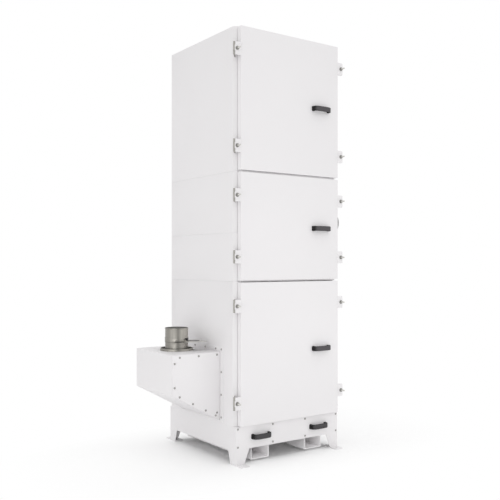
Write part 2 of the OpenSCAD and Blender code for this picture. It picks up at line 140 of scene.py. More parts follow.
spread = floor_grid()
rows, columns = spread.shape[:2]
floor_mesh = bpy.data.meshes.new("floor")
floor_faces = grid_faces(rows, columns)[:, ::-1].tolist() + [list(range(columns))]
floor_mesh.from_pydata(spread.reshape(-1, 3).tolist(), [], floor_faces)
floor = bpy.data.objects.new("floor", floor_mesh)
bpy.context.scene.collection.objects.link(floor)
floor_paint = bpy.data.materials.new("floor_paint")
floor_paint.use_nodes = True
n, link = floor_paint.node_tree.nodes, floor_paint.node_tree.links.new
ground = n["Principled BSDF"]
ground.inputs["Base Color"].default_value = (FLOOR_WHITE, FLOOR_WHITE, FLOOR_WHITE, 1)
ground.inputs["Roughness"].default_value = 0.6
ground.inputs["Specular IOR Level"].default_value = 0.2
half_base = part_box("base_front_panel")[1][0]
place, beside, outside, far = [n.new(kind) for kind in ["ShaderNodeTexCoord"] + 3 * ["ShaderNodeVectorMath"]]
beside.operation, outside.operation, far.operation = "ABSOLUTE", "SUBTRACT", "LENGTH"
outside.inputs[1].default_value = np.array((half_base, half_base, 0)) - SHADOW_INSET
away, longer = n.new("ShaderNodeVectorMath"), n.new("ShaderNodeVectorMath")
away.operation, longer.operation = "MAXIMUM", "MULTIPLY"
longer.inputs[1].default_value = (SIDE_STRETCH, 1, 1)
link(place.outputs["Object"], beside.inputs[0])
link(beside.outputs["Vector"], outside.inputs[0])
link(outside.outputs["Vector"], away.inputs[0])
link(away.outputs["Vector"], longer.inputs[0])
link(longer.outputs["Vector"], far.inputs[0])
reach, rise, fade = [n.new(kind) for kind in ("ShaderNodeMapRange", "ShaderNodeMath", "ShaderNodeMapRange")]
reach.inputs["From Max"].default_value = SHADOW_WIDTH
rise.operation = "POWER"
rise.inputs[1].default_value = SHADOW_RISE
fade.inputs["To Min"].default_value = 0.0
link(far.outputs["Value"], reach.inputs["Value"])
link(reach.outputs["Result"], rise.inputs[0])
link(rise.outputs["Value"], fade.inputs["Value"])
shown = n.new("ShaderNodeMath")
shown.operation = "MULTIPLY"
link(fade.outputs["Result"], shown.inputs[0])
link(seen_directly(n, link), shown.inputs[1])
# Painted light: the glowing white that the camera sees over the floor outside the shadow.
white, either = n.new("ShaderNodeEmission"), n.new("ShaderNodeMixShader")
link(shown.outputs["Value"], either.inputs["Fac"])
link(ground.outputs["BSDF"], either.inputs[1])
link(white.outputs["Emission"], either.inputs[2])
link(either.outputs["Shader"], n["Material Output"].inputs["Surface"])
floor_mesh.materials.append(floor_paint)


# Plinth panels. Four panels with tapered legs and an arch between them, cut and folded
# from 4 mm sheet and coated with a fine white powder that cures to a faint orange peel.
COAT_COLOUR = (0.840, 0.825, 0.834)
COAT_SHADE = (0.815, 0.800, 0.808)
PEEL_PER_M = 420
CLOUD_PER_M = 2.2
FOLD_RADIUS = 1.2 * MM
SHEET_EDGE_ANGLE = np.radians(40)


def coat_group():
    """Shader group of the cured powder: fine noise gives the height of the orange peel,
    and a broad noise gives a slow cloud between two shades and two roughnesses."""
    group = bpy.data.node_groups.new("powder_coat", "ShaderNodeTree")
    face = group.interface
    face.new_socket("Light Colour", in_out="INPUT", socket_type="NodeSocketColor")
    face.new_socket("Dark Colour", in_out="INPUT", socket_type="NodeSocketColor")
    face.new_socket("Peel Height", in_out="INPUT", socket_type="NodeSocketFloat")
    face.new_socket("Base Roughness", in_out="INPUT", socket_type="NodeSocketFloat")
    face.new_socket("Colour", in_out="OUTPUT", socket_type="NodeSocketColor")
    face.new_socket("Roughness", in_out="OUTPUT", socket_type="NodeSocketFloat")
    face.new_socket("Normal", in_out="OUTPUT", socket_type="NodeSocketVector")
    new, link = group.nodes.new, group.links.new
    given, result = new("NodeGroupInput"), new("NodeGroupOutput")
    place = new("ShaderNodeTexCoord")
    peel, cloud = new("ShaderNodeTexNoise"), new("ShaderNodeTexNoise")
    peel.inputs["Scale"].default_value = PEEL_PER_M
    peel.inputs["Detail"].default_value = 3.0
    cloud.inputs["Scale"].default_value = CLOUD_PER_M
    cloud.inputs["Detail"].default_value = 4.0
    for texture in (peel, cloud):
        link(place.outputs["Object"], texture.inputs["Vector"])
    tint = new("ShaderNodeMix")
    tint.data_type = "RGBA"
    link(cloud.outputs["Fac"], tint.inputs["Factor"])
    link(given.outputs["Light Colour"], tint.inputs["A"])
    link(given.outputs["Dark Colour"], tint.inputs["B"])
    rough = new("ShaderNodeMath")
    rough.operation = "MULTIPLY_ADD"
    rough.inputs[1].default_value = 0.10
    link(cloud.outputs["Fac"], rough.inputs[0])
    link(given.outputs["Base Roughness"], rough.inputs[2])
    bump = new("ShaderNodeBump")
    bump.inputs["Distance"].default_value = 0.2 * MM
    link(peel.outputs["Fac"], bump.inputs["Height"])
    link(given.outputs["Peel Height"], bump.inputs["Strength"])
    link(tint.outputs["Result"], result.inputs["Colour"])
    link(rough.outputs["Value"], result.inputs["Roughness"])
    link(bump.outputs["Normal"], result.inputs["Normal"])
    return group


POWDER = coat_group()


def coated(name, colour, shade, peel, roughness):
    """Material of one powder coat, from the shared powder group."""
    material = bpy.data.materials.new(name)
    material.use_nodes = True
    new, link = material.node_tree.nodes.new, material.node_tree.links.new
    surface = material.node_tree.nodes["Principled BSDF"]
    coat = new("ShaderNodeGroup")
    coat.node_tree = POWDER
    coat.inputs["Light Colour"].default_value = (*colour, 1)
    coat.inputs["Dark Colour"].default_value = (*shade, 1)
    coat.inputs["Peel Height"].default_value = peel
    coat.inputs["Base Roughness"].default_value = roughness
    link(coat.outputs["Colour"], surface.inputs["Base Color"])
    link(coat.outputs["Roughness"], surface.inputs["Roughness"])
    link(coat.outputs["Normal"], surface.inputs["Normal"])
    return material


def shown_as(node, material):
    """Gives a CAD node that keeps its own mesh the finish of the real piece."""
    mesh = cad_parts[node].data
    mesh.materials.clear()
    mesh.materials.append(material)


def folded(node, body, material, radius=FOLD_RADIUS):
    """A copy of a sheet node with its edges rounded as a press brake and a deburring
    wheel leave them. The copy is merged and its flat faces joined before the rounding."""
    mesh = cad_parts[node].data.copy()
    shell = bmesh.new()
    shell.from_mesh(mesh)
    bmesh.ops.remove_doubles(shell, verts=shell.verts, dist=0.02 * MM)
    bmesh.ops.dissolve_limit(shell, angle_limit=np.radians(0.5), verts=shell.verts, edges=shell.edges)
    shell.to_mesh(mesh)
    shell.free()
    mesh.materials.clear()
    mesh.materials.append(material)
    mesh.shade_smooth()
    piece = bpy.data.objects.new(node + "_sheet", mesh)
    bpy.context.scene.collection.objects.link(piece)
    edge = piece.modifiers.new("edges", "BEVEL")
    edge.width = radius
    edge.segments = 2
    edge.limit_method = "ANGLE"
    edge.angle_limit = SHEET_EDGE_ANGLE
    edge.harden_normals = True
    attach(piece, body)
    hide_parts(node)
    return piece


casing_coat = coated("casing_coat", COAT_COLOUR, COAT_SHADE, 0.35, 0.42)
for panel in ("base_front_panel", "base_rear_panel", "base_left_panel", "base_right_panel"):
    folded(panel, "tower", casing_coat)


# Deck, fork pockets and foot plates. The pockets are rectangular tubes that hang from the
# deck on welded webs, and the foot plates are welded under the legs and bolted down. The
# pockets get a whiter copy of the casing's coat: painted light that brightens their shaded insides.
POCKET_LIT_COLOUR = (0.965, 0.950, 0.957)
POCKET_LIT_SHADE = (0.950, 0.935, 0.942)
pocket_lit_coat = coated("pocket_lit_coat", POCKET_LIT_COLOUR, POCKET_LIT_SHADE, 0.35, 0.42)
folded("fork_tunnels", "tower", pocket_lit_coat)
for part in ("base_deck", "foot_plates"):
    folded(part, "tower", casing_coat)


# Plinth screws. Button-head screws with a hexagon socket hold the front and rear panels,
# four in each row.
SCREW_R = 6.5 * MM
SCREW_H = 3.6 * MM
SOCKET_R = 2.6 * MM
SOCKET_D = 2.2 * MM
PLINTH_SCREW_X = (128 * MM, 388 * MM)
PLINTH_SCREW_Z = (110 * MM, 218 * MM)
AROUND = 36


def hexagon(angle):
    """Radius of a regular hexagon with an inscribed circle of 1: one over the cosine of
    the angle from the middle of the nearest flat."""
    return 1 / np.cos((angle + np.pi / 6) % (np.pi / 3) - np.pi / 6)


def turned(radii, heights, shaped=None, form=hexagon, around=AROUND):
    """Turned form: ring i lies at heights[i] with the radius radii[i], and where shaped
    is true the radius is multiplied by a function of the angle. An (i, angle, 3) array."""
    angle = np.linspace(0, 2 * np.pi, around, endpoint=False)
    radius = np.asarray(radii, float)[:, None] * np.ones(around)[None, :]
    if shaped is not None:
        radius = np.where(np.asarray(shaped)[:, None], radius * form(angle)[None, :], radius)
    z = np.asarray(heights, float)[:, None] * np.ones(around)[None, :]
    return np.stack([radius * np.cos(angle), radius * np.sin(angle), z], axis=-1)


def screw_grid():
    """Button head: from the pole at the socket's floor up its hexagonal wall, then over
    a dome whose height falls as the square of the radius."""
    ring = np.linspace(SOCKET_R * 1.35, SCREW_R, 6)
    dome = SCREW_H * (1 - 0.75 * ((ring - ring[0]) / (SCREW_R - ring[0])) ** 2)
    floor_z = SCREW_H - SOCKET_D
    radii = np.concatenate([[0, SOCKET_R, SOCKET_R], ring, [SCREW_R]])
    heights = np.concatenate([[floor_z, floor_z, SCREW_H], dome, [0]])
    return turned(radii, heights, [False, True, True] + [False] * (len(ring) + 1))


# Unit rows that turn a form from standing along +Z to standing along -Y, +Y, -X and +X
TO_FRONT = np.array([[1, 0, 0], [0, 0, 1], [0, -1, 0]])
TO_REAR = np.array([[-1, 0, 0], [0, 0, 1], [0, 1, 0]])
TO_LEFT = np.array([[0, -1, 0], [0, 0, 1], [-1, 0, 0]])
TO_RIGHT = np.array([[0, 1, 0], [0, 0, 1], [1, 0, 0]])


def facing(grid, rows_xyz, at):
    """A grid turned by a matrix, whose rows say where its x, y and z go, and moved."""
    return grid @ rows_xyz + np.asarray(at)


def fitted(name, grids, body, material, sharp=35):
    """One mesh from grids whose columns close. Doubled points at poles are merged, the
    normals point outwards, and edges sharper than the given angle stay sharp."""
    points, faces, start = [], [], 0
    for grid in grids:
        rows, columns = grid.shape[:2]
        points.append(grid.reshape(-1, 3))
        faces.append(grid_faces(rows, columns) + start)
        start += rows * columns
    mesh = bpy.data.meshes.new(name)
    mesh.from_pydata(np.concatenate(points).tolist(), [], np.concatenate(faces).tolist())
    shell = bmesh.new()
    shell.from_mesh(mesh)
    bmesh.ops.remove_doubles(shell, verts=shell.verts, dist=0.001 * MM)
    bmesh.ops.recalc_face_normals(shell, faces=shell.faces)
    shell.to_mesh(mesh)
    shell.free()
    mesh.materials.append(material)
    mesh.shade_smooth()
    mesh.set_sharp_from_angle(angle=np.radians(sharp))
    piece = bpy.data.objects.new(name, mesh)
    bpy.context.scene.collection.objects.link(piece)
    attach(piece, body)
    return piece


def grained(name, colour, roughness, metallic=0.0, stretch=(900, 900, 900), grain=0.2, swing=0.18):
    """Material of one even finish: noise on stretched coordinates, in grains per metre
    along each axis, moves colour and roughness a little and raises a fine grain."""
    material = bpy.data.materials.new(name)
    material.use_nodes = True
    new, link = material.node_tree.nodes.new, material.node_tree.links.new
    surface = material.node_tree.nodes["Principled BSDF"]
    surface.inputs["Metallic"].default_value = metallic
    place, scale, noise = new("ShaderNodeTexCoord"), new("ShaderNodeMapping"), new("ShaderNodeTexNoise")
    scale.inputs["Scale"].default_value = stretch
    noise.inputs["Scale"].default_value = 1.0
    noise.inputs["Detail"].default_value = 5.0
    link(place.outputs["Object"], scale.inputs["Vector"])
    link(scale.outputs["Vector"], noise.inputs["Vector"])
    tint = new("ShaderNodeMix")
    tint.data_type = "RGBA"
    tint.inputs["A"].default_value = (*[(1 - swing) * c for c in colour], 1)
    tint.inputs["B"].default_value = (*[(1 + swing) * c for c in colour], 1)
    link(noise.outputs["Fac"], tint.inputs["Factor"])
    link(tint.outputs["Result"], surface.inputs["Base Color"])
    rough = new("ShaderNodeMapRange")
    rough.inputs["To Min"].default_value = roughness - 0.06
    rough.inputs["To Max"].default_value = roughness + 0.06
    link(noise.outputs["Fac"], rough.inputs["Value"])
    link(rough.outputs["Result"], surface.inputs["Roughness"])
    bump = new("ShaderNodeBump")
    bump.inputs["Distance"].default_value = 0.2 * MM
    bump.inputs["Strength"].default_value = grain
    link(noise.outputs["Fac"], bump.inputs["Height"])
    link(bump.outputs["Normal"], surface.inputs["Normal"])
    return material


bolt_steel = grained("bolt_steel", (0.40, 0.395, 0.38), 0.38, metallic=0.9, stretch=(500, 500, 500), grain=0.1)
front_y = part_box("base_front_panel")[0][1]
rear_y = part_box("base_rear_panel")[1][1]
heads = []
for x in PLINTH_SCREW_X:
    for side in (-1, 1):
        for z in PLINTH_SCREW_Z:
            heads.append(facing(screw_grid(), TO_FRONT, (side * x, front_y, z)))
            heads.append(facing(screw_grid(), TO_REAR, (side * x, rear_y, z)))
fitted("plinth_screws", heads, "tower", bolt_steel)


# Plinth handles. Two bridge handles moulded in black glass-filled plastic, screwed on from
# behind. The grip is flat in front, bows a little and flares into its feet.
GRIP_MARGIN = 7 * MM
GRIP_TALLER = 3 * MM
GRIP_LONGER = 4 * MM
GRIP_SHIFT = np.array([6, 0, 0]) * MM
GRIP_T = 12 * MM
FOOT_FLARE = 8 * MM
BOW = 2.2 * MM


def handle_grid(low, high):
    """Handle inside a box: its middle line is half a superellipse in plan, with x as the
    cosine and the rise as the sine, both to the power 2/5, plus a shallow bow; the section
    across it is a superellipse too, which thickens towards the feet as the square."""
    face, reach, height = high[1], high[1] - low[1], high[2] - low[2] + GRIP_TALLER
    half = (high[0] - low[0]) / 2 - GRIP_MARGIN
    rise = reach - GRIP_T / 2 - BOW
    turn = np.linspace(0, np.pi, 61)
    c, s = np.cos(turn), np.sin(turn)
    x = half * np.sign(c) * np.abs(c) ** 0.4
    y = -rise * np.abs(s) ** 0.4 - BOW * (1 - (x / half) ** 2)
    y[[0, -1]] = 0
    dx, dy = np.gradient(x), np.gradient(y)
    length = np.hypot(dx, dy)
    thick = GRIP_T / 2 + FOOT_FLARE / 2 * np.clip(1 + y / rise, 0, 1) ** 2
    angle = np.linspace(0, 2 * np.pi, AROUND, endpoint=False)
    side = np.sign(np.cos(angle)) * np.abs(np.cos(angle)) ** 0.5
    up = np.sign(np.sin(angle)) * np.abs(np.sin(angle)) ** 0.35
    px = x[:, None] - (dy / length * thick)[:, None] * side[None, :]
    py = y[:, None] + (dx / length * thick)[:, None] * side[None, :]
    pz = np.ones_like(x)[:, None] * up[None, :] * height / 2
    middle = ((low[0] + high[0]) / 2, face, (low[2] + high[2]) / 2)
    bridge = np.stack([px, np.minimum(py, 0), pz], axis=-1) + np.asarray(middle)
    caps = [bridge[end:end + 1].mean(axis=1, keepdims=True).repeat(AROUND, axis=1) for end in (0, 60)]
    return np.concatenate([caps[0], bridge, caps[1]])


def shaded_off_front(material, least, most, darker):
    """Painted shade: keeps a material's colour on faces that look towards -Y and darkens it on the
    rest, so the sides read as shaded: the factor runs from darker to 1 while the normal's -y runs from least to most."""
    new, link = material.node_tree.nodes.new, material.node_tree.links.new
    surface = material.node_tree.nodes["Principled BSDF"]
    colour = surface.inputs["Base Color"].links[0].from_socket
    place, front, level = new("ShaderNodeTexCoord"), new("ShaderNodeVectorMath"), new("ShaderNodeMapRange")
    front.operation = "DOT_PRODUCT"
    front.inputs[1].default_value = (0, -1, 0)
    link(place.outputs["Normal"], front.inputs[0])
    link(front.outputs["Value"], level.inputs["Value"])
    for socket, value in (("From Min", least), ("From Max", most), ("To Min", darker)):
        level.inputs[socket].default_value = value
    shade = new("ShaderNodeMix")
    shade.data_type, shade.blend_type = "RGBA", "MULTIPLY"
    shade.inputs["Factor"].default_value = 1.0
    link(colour, shade.inputs["A"])
    link(level.outputs["Result"], shade.inputs["B"])
    link(shade.outputs["Result"], surface.inputs["Base Color"])


handle_plastic = grained("handle_plastic", (0.085, 0.080, 0.085), 0.55, stretch=(1500, 1500, 1500), grain=0.35)
handle_plastic.node_tree.nodes["Principled BSDF"].inputs["Specular IOR Level"].default_value = 0.25
# Painted shade: the plastic darkens on faces that turn away from the front.
shaded_off_front(handle_plastic, 0.5, 0.97, 0.12)
# Painted shade: the plinth handles get a darker copy of the door handles' plastic.
plinth_shaded_plastic = grained("plinth_shaded_plastic", (0.058, 0.055, 0.058), 0.55, stretch=(1500, 1500, 1500), grain=0.35)
plinth_shaded_plastic.node_tree.nodes["Principled BSDF"].inputs["Specular IOR Level"].default_value = 0.25
shaded_off_front(plinth_shaded_plastic, 0.5, 0.97, 0.12)
low, high = [np.asarray(corner) + GRIP_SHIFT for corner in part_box("base_handles")]
grip_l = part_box("bottom_handle")[1][0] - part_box("bottom_handle")[0][0]
grips = [handle_grid((high[0] - grip_l, low[1], low[2]), tuple(high)),
         handle_grid(tuple(low), (low[0] + grip_l, high[1], high[2]))]
plinth_grips = fitted("plinth_grips", grips, "tower", plinth_shaded_plastic, 50)
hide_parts("base_handles")


# Casing. Left and right walls with their bevelled corners, the rear wall and the roof,
# folded from 3 mm sheet, and the flanged frames inside the joints.
for wall in ("bottom_left_wall", "spacer_left_wall", "filter_left_wall", "top_left_wall",
             "bottom_right_wall", "spacer_right_wall", "filter_right_wall", "top_right_wall",
             "rear_wall", "roof"):
    folded(wall, "tower", casing_coat, 0.25 * MM)
for rail in ("low_joint_frame", "middle_joint_frame", "high_joint_frame", "sill_rail", "head_rail"):
    shown_as(rail, casing_coat)


# Joint fillers. A bead of sealant lies in each joint line of the casings, just below the
# surface, and a folded strip of the frame stands forward in the gap between two doors.
SEALANT_DEPTH = 1.2 * MM
SEALANT_BACK = 2.9 * MM
SEALANT_HALF = 0.95 * MM
BEVEL_W = 20 * MM
STILE_END = 345 * MM
STRIP_FRONT = 24 * MM
STRIP_INSET = 12 * MM


def strand(path, inward, half):
    """Closed strand of rectangular section along a path of (x, y, z) points: the section's
    back lies behind each point by its inward vector, and half is half its height."""
    path, inward = np.asarray(path), np.asarray(inward)
    up = np.array([0, 0, half])
    rings = np.stack([path - up, path + up, path + inward + up, path + inward - up], axis=1)
    ends = [rings[end:end + 1].mean(axis=1, keepdims=True).repeat(4, axis=1) for end in (0, len(path) - 1)]
    return np.concatenate([ends[0], rings, ends[1]])


casing_low, casing_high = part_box("bottom_left_wall")
side_x, case_front, case_rear = -casing_low[0], casing_low[1], casing_high[1]
seams = [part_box(upper + "_left_wall")[0][2] - 1 * MM for upper in ("spacer", "filter", "top")]
mitre = np.tan(np.radians(22.5))
beads = []
for side in (-1, 1):
    for z in seams:
        corners = [(side_x, case_rear), (side_x, case_front + BEVEL_W), (side_x - BEVEL_W, case_front),
                   (STILE_END, case_front)]
        insets = np.array([(-1, 0), (-1, mitre), (-mitre, 1), (0, 1)])
        outer = np.asarray(corners) + SEALANT_DEPTH * insets
        path = np.column_stack([outer * [side, 1], np.full(4, z)])
        back = np.column_stack([insets * [side, 1] * (SEALANT_BACK - SEALANT_DEPTH), np.zeros(4)])
        beads.append(strand(path, back, SEALANT_HALF))
fitted("joint_sealant", beads, "tower", casing_coat)
strips = []
for lower, upper, below, above in (("bottom", "middle", 5 * MM, 0.5 * MM), ("middle", "top", 1 * MM, 1 * MM)):
    low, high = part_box(lower + "_door")[1][2] + below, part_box(upper + "_door")[0][2] - above
    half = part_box(lower + "_door")[1][0] - STRIP_INSET
    path = [(x, case_front - STRIP_FRONT, (low + high) / 2) for x in (-half, half)]
    strips.append(strand(path, [(0, STRIP_FRONT, 0)] * 2, (high - low) / 2))
fitted("gap_strips", strips, "tower", casing_coat)


# Doors. Shallow pans folded from one sheet, a little smoother and brighter than the
# casing, with lugs of the same sheet at both edges.
DOOR_COLOUR = (0.850, 0.835, 0.843)
DOOR_SHADE = (0.836, 0.820, 0.830)
DOOR_BODY = {"bottom": "bottom_door", "middle": "tower", "top": "tower"}
door_coat = coated("door_coat", DOOR_COLOUR, DOOR_SHADE, 0.25, 0.36)
for level, body in DOOR_BODY.items():
    for part in ("_door", "_lugs"):
        folded(level + part, body, door_coat, 1.0 * MM)


# Seals. Soft black foam rubber in a closed ring on the folded edge of each door; only a
# dark line of it shows in the gap.
foam = grained("foam_rubber", (0.16, 0.16, 0.158), 0.85, stretch=(1400, 1400, 1400), grain=0.6)
for level in DOOR_BODY:
    shown_as(level + "_seal", foam)


# Hinges and clamp blocks. Zinc-plated barrels on welded arms in the casing's coat, and
# pressed blocks behind the right lugs in the coat of the doors.
zinc = grained("zinc_plate", (0.42, 0.41, 0.385), 0.42, metallic=0.9, stretch=(260, 260, 60), grain=0.1)
BARREL_W = 12 * MM


def plated(piece):
    """Gives the faces of the barrels, at the left end of the hinges, a plating of zinc."""
    mesh = piece.data
    mesh.materials.append(zinc)
    centres = np.empty(len(mesh.polygons) * 3)
    mesh.polygons.foreach_get("center", centres)
    barrel = centres[::3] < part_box("hinge_brackets")[0][0] + BARREL_W
    mesh.polygons.foreach_set("material_index", barrel.astype(int))


plated(folded("hinge_brackets", "tower", casing_coat, 0.5 * MM))
folded("clamp_blocks", "tower", door_coat, 0.5 * MM)
for level in DOOR_BODY:
    plated(bpy.data.objects[level + "_lugs_sheet"])


# Studs, washers and nuts. One set stands on every lug: an M10 stud with a flat washer and
# a hexagon nut, which draws the door on to its seal.
NUT_ACROSS = 18 * MM
NUT_H = 8.4 * MM
WASHER_R = 12 * MM
WASHER_T = 2 * MM
STUD_R = 5 * MM
STUD_L = 34 * MM
THREAD_PITCH = 1.5 * MM
THREAD_DEPTH = 0.9 * MM
STUD_OFFSET = 27 * MM
LUG_INSET = 140 * MM


def nut_grid():
    """Hexagon nut: a turned profile whose outer rings are a hexagon, with a flat round
    face in front."""
    across = NUT_ACROSS / 2
    radii = [STUD_R, across * 0.94, across, across]
    return turned(radii, [NUT_H, NUT_H, NUT_H - 1.2 * MM, 0], [False, False, True, True])


def washer_grid():
    """Flat washer: a turned ring with a small bevel."""
    edge = 0.4 * MM
    return turned([STUD_R, WASHER_R - edge, WASHER_R, WASHER_R], [WASHER_T, WASHER_T, WASHER_T - edge, 0])


def stud_grid():
    """Stud: the radius falls by the thread's depth as a triangle wave of height over pitch
    minus angle over a turn, and runs to a cone at the tip."""
    turns = int(STUD_L / THREAD_PITCH * 6)
    z = np.linspace(0, STUD_L, turns)[:, None]
    angle = np.linspace(0, 2 * np.pi, AROUND, endpoint=False)[None, :]
    wave = np.abs(((z / THREAD_PITCH - angle / (2 * np.pi)) % 1) * 2 - 1)
    radius = np.minimum(STUD_R - THREAD_DEPTH * wave, STUD_R - THREAD_DEPTH + (STUD_L - z))
    body = np.stack([radius * np.cos(angle), radius * np.sin(angle), z + 0 * angle], axis=-1)
    return np.concatenate([body, turned([0.0], [STUD_L])])


nut_steel = grained("nut_steel", (0.34, 0.335, 0.32), 0.40, metallic=0.9, stretch=(500, 500, 500), grain=0.1)
stud_steel = grained("stud_steel", (0.62, 0.61, 0.58), 0.40, metallic=0.8, stretch=(500, 500, 500), grain=0.1)
for level, body in DOOR_BODY.items():
    low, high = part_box(level + "_door")
    sets, studs = [], []
    for x in (low[0] - STUD_OFFSET, high[0] + STUD_OFFSET):
        for z in (low[2] + LUG_INSET, high[2] - LUG_INSET):
            sets.append(facing(washer_grid(), TO_FRONT, (x, low[1], z)))
            sets.append(facing(nut_grid(), TO_FRONT, (x, low[1] - WASHER_T, z)))
            studs.append(facing(stud_grid(), TO_FRONT, (x, low[1], z)))
    fitted(level + "_clamp_nuts", sets, body, nut_steel)
    fitted(level + "_clamp_studs", studs, body, stud_steel)


# Door handles. The same bridge handle stands near the right edge of every door.
for level, body in DOOR_BODY.items():
    low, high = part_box(level + "_handle")
    grid = handle_grid(low, (high[0] + GRIP_LONGER, high[1], high[2]))
    grip = fitted(level + "_grip", [grid], body, handle_plastic, 50)
    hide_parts(level + "_handle")


# Inlet box. A folded box with a sloping underside, closed front and rear by bolted covers
# and screwed to the casing through a flange.
for part in ("inlet_box", "inlet_covers", "inlet_flange"):
    folded(part, "tower", casing_coat, 0.8 * MM)


# Inlet bolts. Button heads like those of the plinth run round each cover, 17 mm inside
# its edge, and round the flange.
COVER_MARGIN = 17 * MM
COVER_TOP_PITCH = 130 * MM
COVER_WALL_MARGIN = 25 * MM
COVER_END_DROPS = (51 * MM, 193 * MM)
COVER_LOW_MARGIN = 14 * MM
COVER_SLOPE_STEPS = (51 * MM, 142 * MM, 232 * MM, 303 * MM)
COVER_CORNER_RISE = 48 * MM
FLANGE_COLUMN = 16 * MM
FLANGE_LEVELS = 4
FLANGE_TOP_Y = (62 * MM, 185 * MM)
low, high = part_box("inlet_box")
cover_low, cover_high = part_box("inlet_covers")
flange_low, flange_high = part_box("inlet_flange")
wall_x = flange_high[0]
middle_y = (flange_low[1] + flange_high[1]) / 2
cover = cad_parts["inlet_covers"].data
cover_points = np.empty(len(cover.vertices) * 3)
cover.vertices.foreach_get("co", cover_points)
cover_points = cover_points.reshape(-1, 3)
outer_z = cover_points[cover_points[:, 0] < cover_low[0] + 1 * MM][:, 2].min()
slope = (outer_z - cover_low[2]) / (cover_high[0] - cover_low[0])
spots = [(wall_x - COVER_WALL_MARGIN - k * COVER_TOP_PITCH, high[2] - COVER_MARGIN) for k in range(3)]
spots += [(low[0] + COVER_MARGIN, high[2] - drop) for drop in COVER_END_DROPS]
spots += [(low[0] + step, outer_z - slope * step + COVER_LOW_MARGIN * np.hypot(1, slope)) for step in COVER_SLOPE_STEPS]
spots.append((wall_x - COVER_WALL_MARGIN, cover_low[2] + COVER_CORNER_RISE))
bolts = [facing(screw_grid(), TO_FRONT, (x, cover_low[1], z)) for x, z in spots]
bolts += [facing(screw_grid(), TO_REAR, (x, cover_high[1], z)) for x, z in spots]
levels = np.linspace(flange_low[2] + 30 * MM, flange_high[2] - COVER_MARGIN, FLANGE_LEVELS)
rim = [(y, z) for y in (flange_low[1] + FLANGE_COLUMN, flange_high[1] - FLANGE_COLUMN) for z in levels]
rim += [(middle_y + side * y, levels[-1]) for y in FLANGE_TOP_Y for side in (-1, 1)]
bolts += [facing(screw_grid(), TO_LEFT, (flange_low[0], y, z)) for y, z in rim]
fitted("inlet_bolts", bolts, "tower", bolt_steel)


# Spigot. A spun collar of galvanised steel: a ring flange with a raised rim, a short pipe
# and a bead at the gate.
PIPE_R = 71.5 * MM
BORE_R = 68 * MM
BEAD_R = 73.5 * MM
BEAD_H = 3 * MM
RING_H = 14 * MM
RING_LIP = 4 * MM
RING_FLOOR = 4 * MM
RING_FILLET = 3 * MM


def rolled(centre_r, centre_z, radius, start, end, steps=8):
    """Points of an arc in a profile, by its centre, radius and two angles in degrees."""
    turn = np.radians(np.linspace(start, end, steps))
    return centre_r + radius * np.cos(turn), centre_z + radius * np.sin(turn)


def joined(*runs):
    """One profile from runs of (radii, heights)."""
    return [np.concatenate([np.atleast_1d(run[k]) for run in runs]) for k in (0, 1)]


# Painted reflections: brightness factors at angles round the spigot.
REFLECTION_BAND_STOPS = ((0.0, 0.82), (0.06, 0.88), (0.10, 1.15), (0.14, 1.10), (0.165, 0.85), (0.188, 0.58),
              (0.215, 0.92), (0.28, 1.45), (0.35, 1.4), (0.45, 1.0), (1.0, 0.82))
REFLECTION_BAND_TOP = 1.5


def reflection_banded(material, at):
    """Paints reflection bands on a rolled pipe: its colour is multiplied by a ramp of light and
    dark stops over the angle round the pipe, scaled to its brightest stop."""
    new, link = material.node_tree.nodes.new, material.node_tree.links.new
    surface = material.node_tree.nodes["Principled BSDF"]
    colour = surface.inputs["Base Color"].links[0].from_socket
    place, about, turn = new("ShaderNodeTexCoord"), new("ShaderNodeMapping"), new("ShaderNodeTexGradient")
    about.inputs["Location"].default_value = (-at[0], -at[1], 0)
    turn.gradient_type = "RADIAL"
    link(place.outputs["Object"], about.inputs["Vector"])
    link(about.outputs["Vector"], turn.inputs["Vector"])
    ramp = new("ShaderNodeValToRGB")
    stops = ramp.color_ramp.elements
    while len(stops) < len(REFLECTION_BAND_STOPS):
        stops.new(0.5)
    for stop, (position, level) in zip(stops, REFLECTION_BAND_STOPS):
        stop.position = position
        stop.color = (*[level / REFLECTION_BAND_TOP] * 3, 1)
    link(turn.outputs["Fac"], ramp.inputs["Fac"])
    shade = new("ShaderNodeMix")
    shade.data_type, shade.blend_type = "RGBA", "MULTIPLY"
    shade.inputs["Factor"].default_value = 1.0
    link(colour, shade.inputs["A"])
    link(ramp.outputs["Color"], shade.inputs["B"])
    link(shade.outputs["Result"], surface.inputs["Base Color"])


low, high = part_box("spigot_collar")
spigot_at = ((low[0] + high[0]) / 2, (low[1] + high[1]) / 2, low[2])
galvanised = grained("galvanised", (0.52, 0.50, 0.455), 0.34, metallic=0.85, stretch=(150, 150, 3), grain=0.06,
                     swing=0.22)
# Painted reflection bands on the galvanised spigot, gate ring and gate lip.
reflection_banded(galvanised, spigot_at)
# Painted shade: a darker zinc for the dish of the ring and the bores.
shaded_zinc = grained("shaded_zinc", (0.20, 0.195, 0.185), 0.6, metallic=0.6, stretch=(300, 300, 300), grain=0.2)
ring_r, collar_h = (high[0] - low[0]) / 2, high[2] - low[2]
collar = joined(((BORE_R, ring_r), (0, 0)),
                rolled(ring_r - RING_LIP / 2, RING_H - RING_LIP / 2, RING_LIP / 2, 0, 170),
                ((ring_r - RING_LIP, PIPE_R + RING_FILLET), (RING_FLOOR, RING_FLOOR)),
                rolled(PIPE_R + RING_FILLET, RING_FLOOR + RING_FILLET, RING_FILLET, 270, 180),
                ((PIPE_R,), (collar_h - 2 * BEAD_H,)),
                rolled(BEAD_R - BEAD_H / 2, collar_h - BEAD_H / 2, BEAD_H / 2, -90, 90),
                ((BORE_R, BORE_R), (collar_h, 0)))
spun = fitted("spigot_spun", [facing(turned(*collar, around=96), np.eye(3), spigot_at)],
              "tower", galvanised, 30)
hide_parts("spigot_collar")


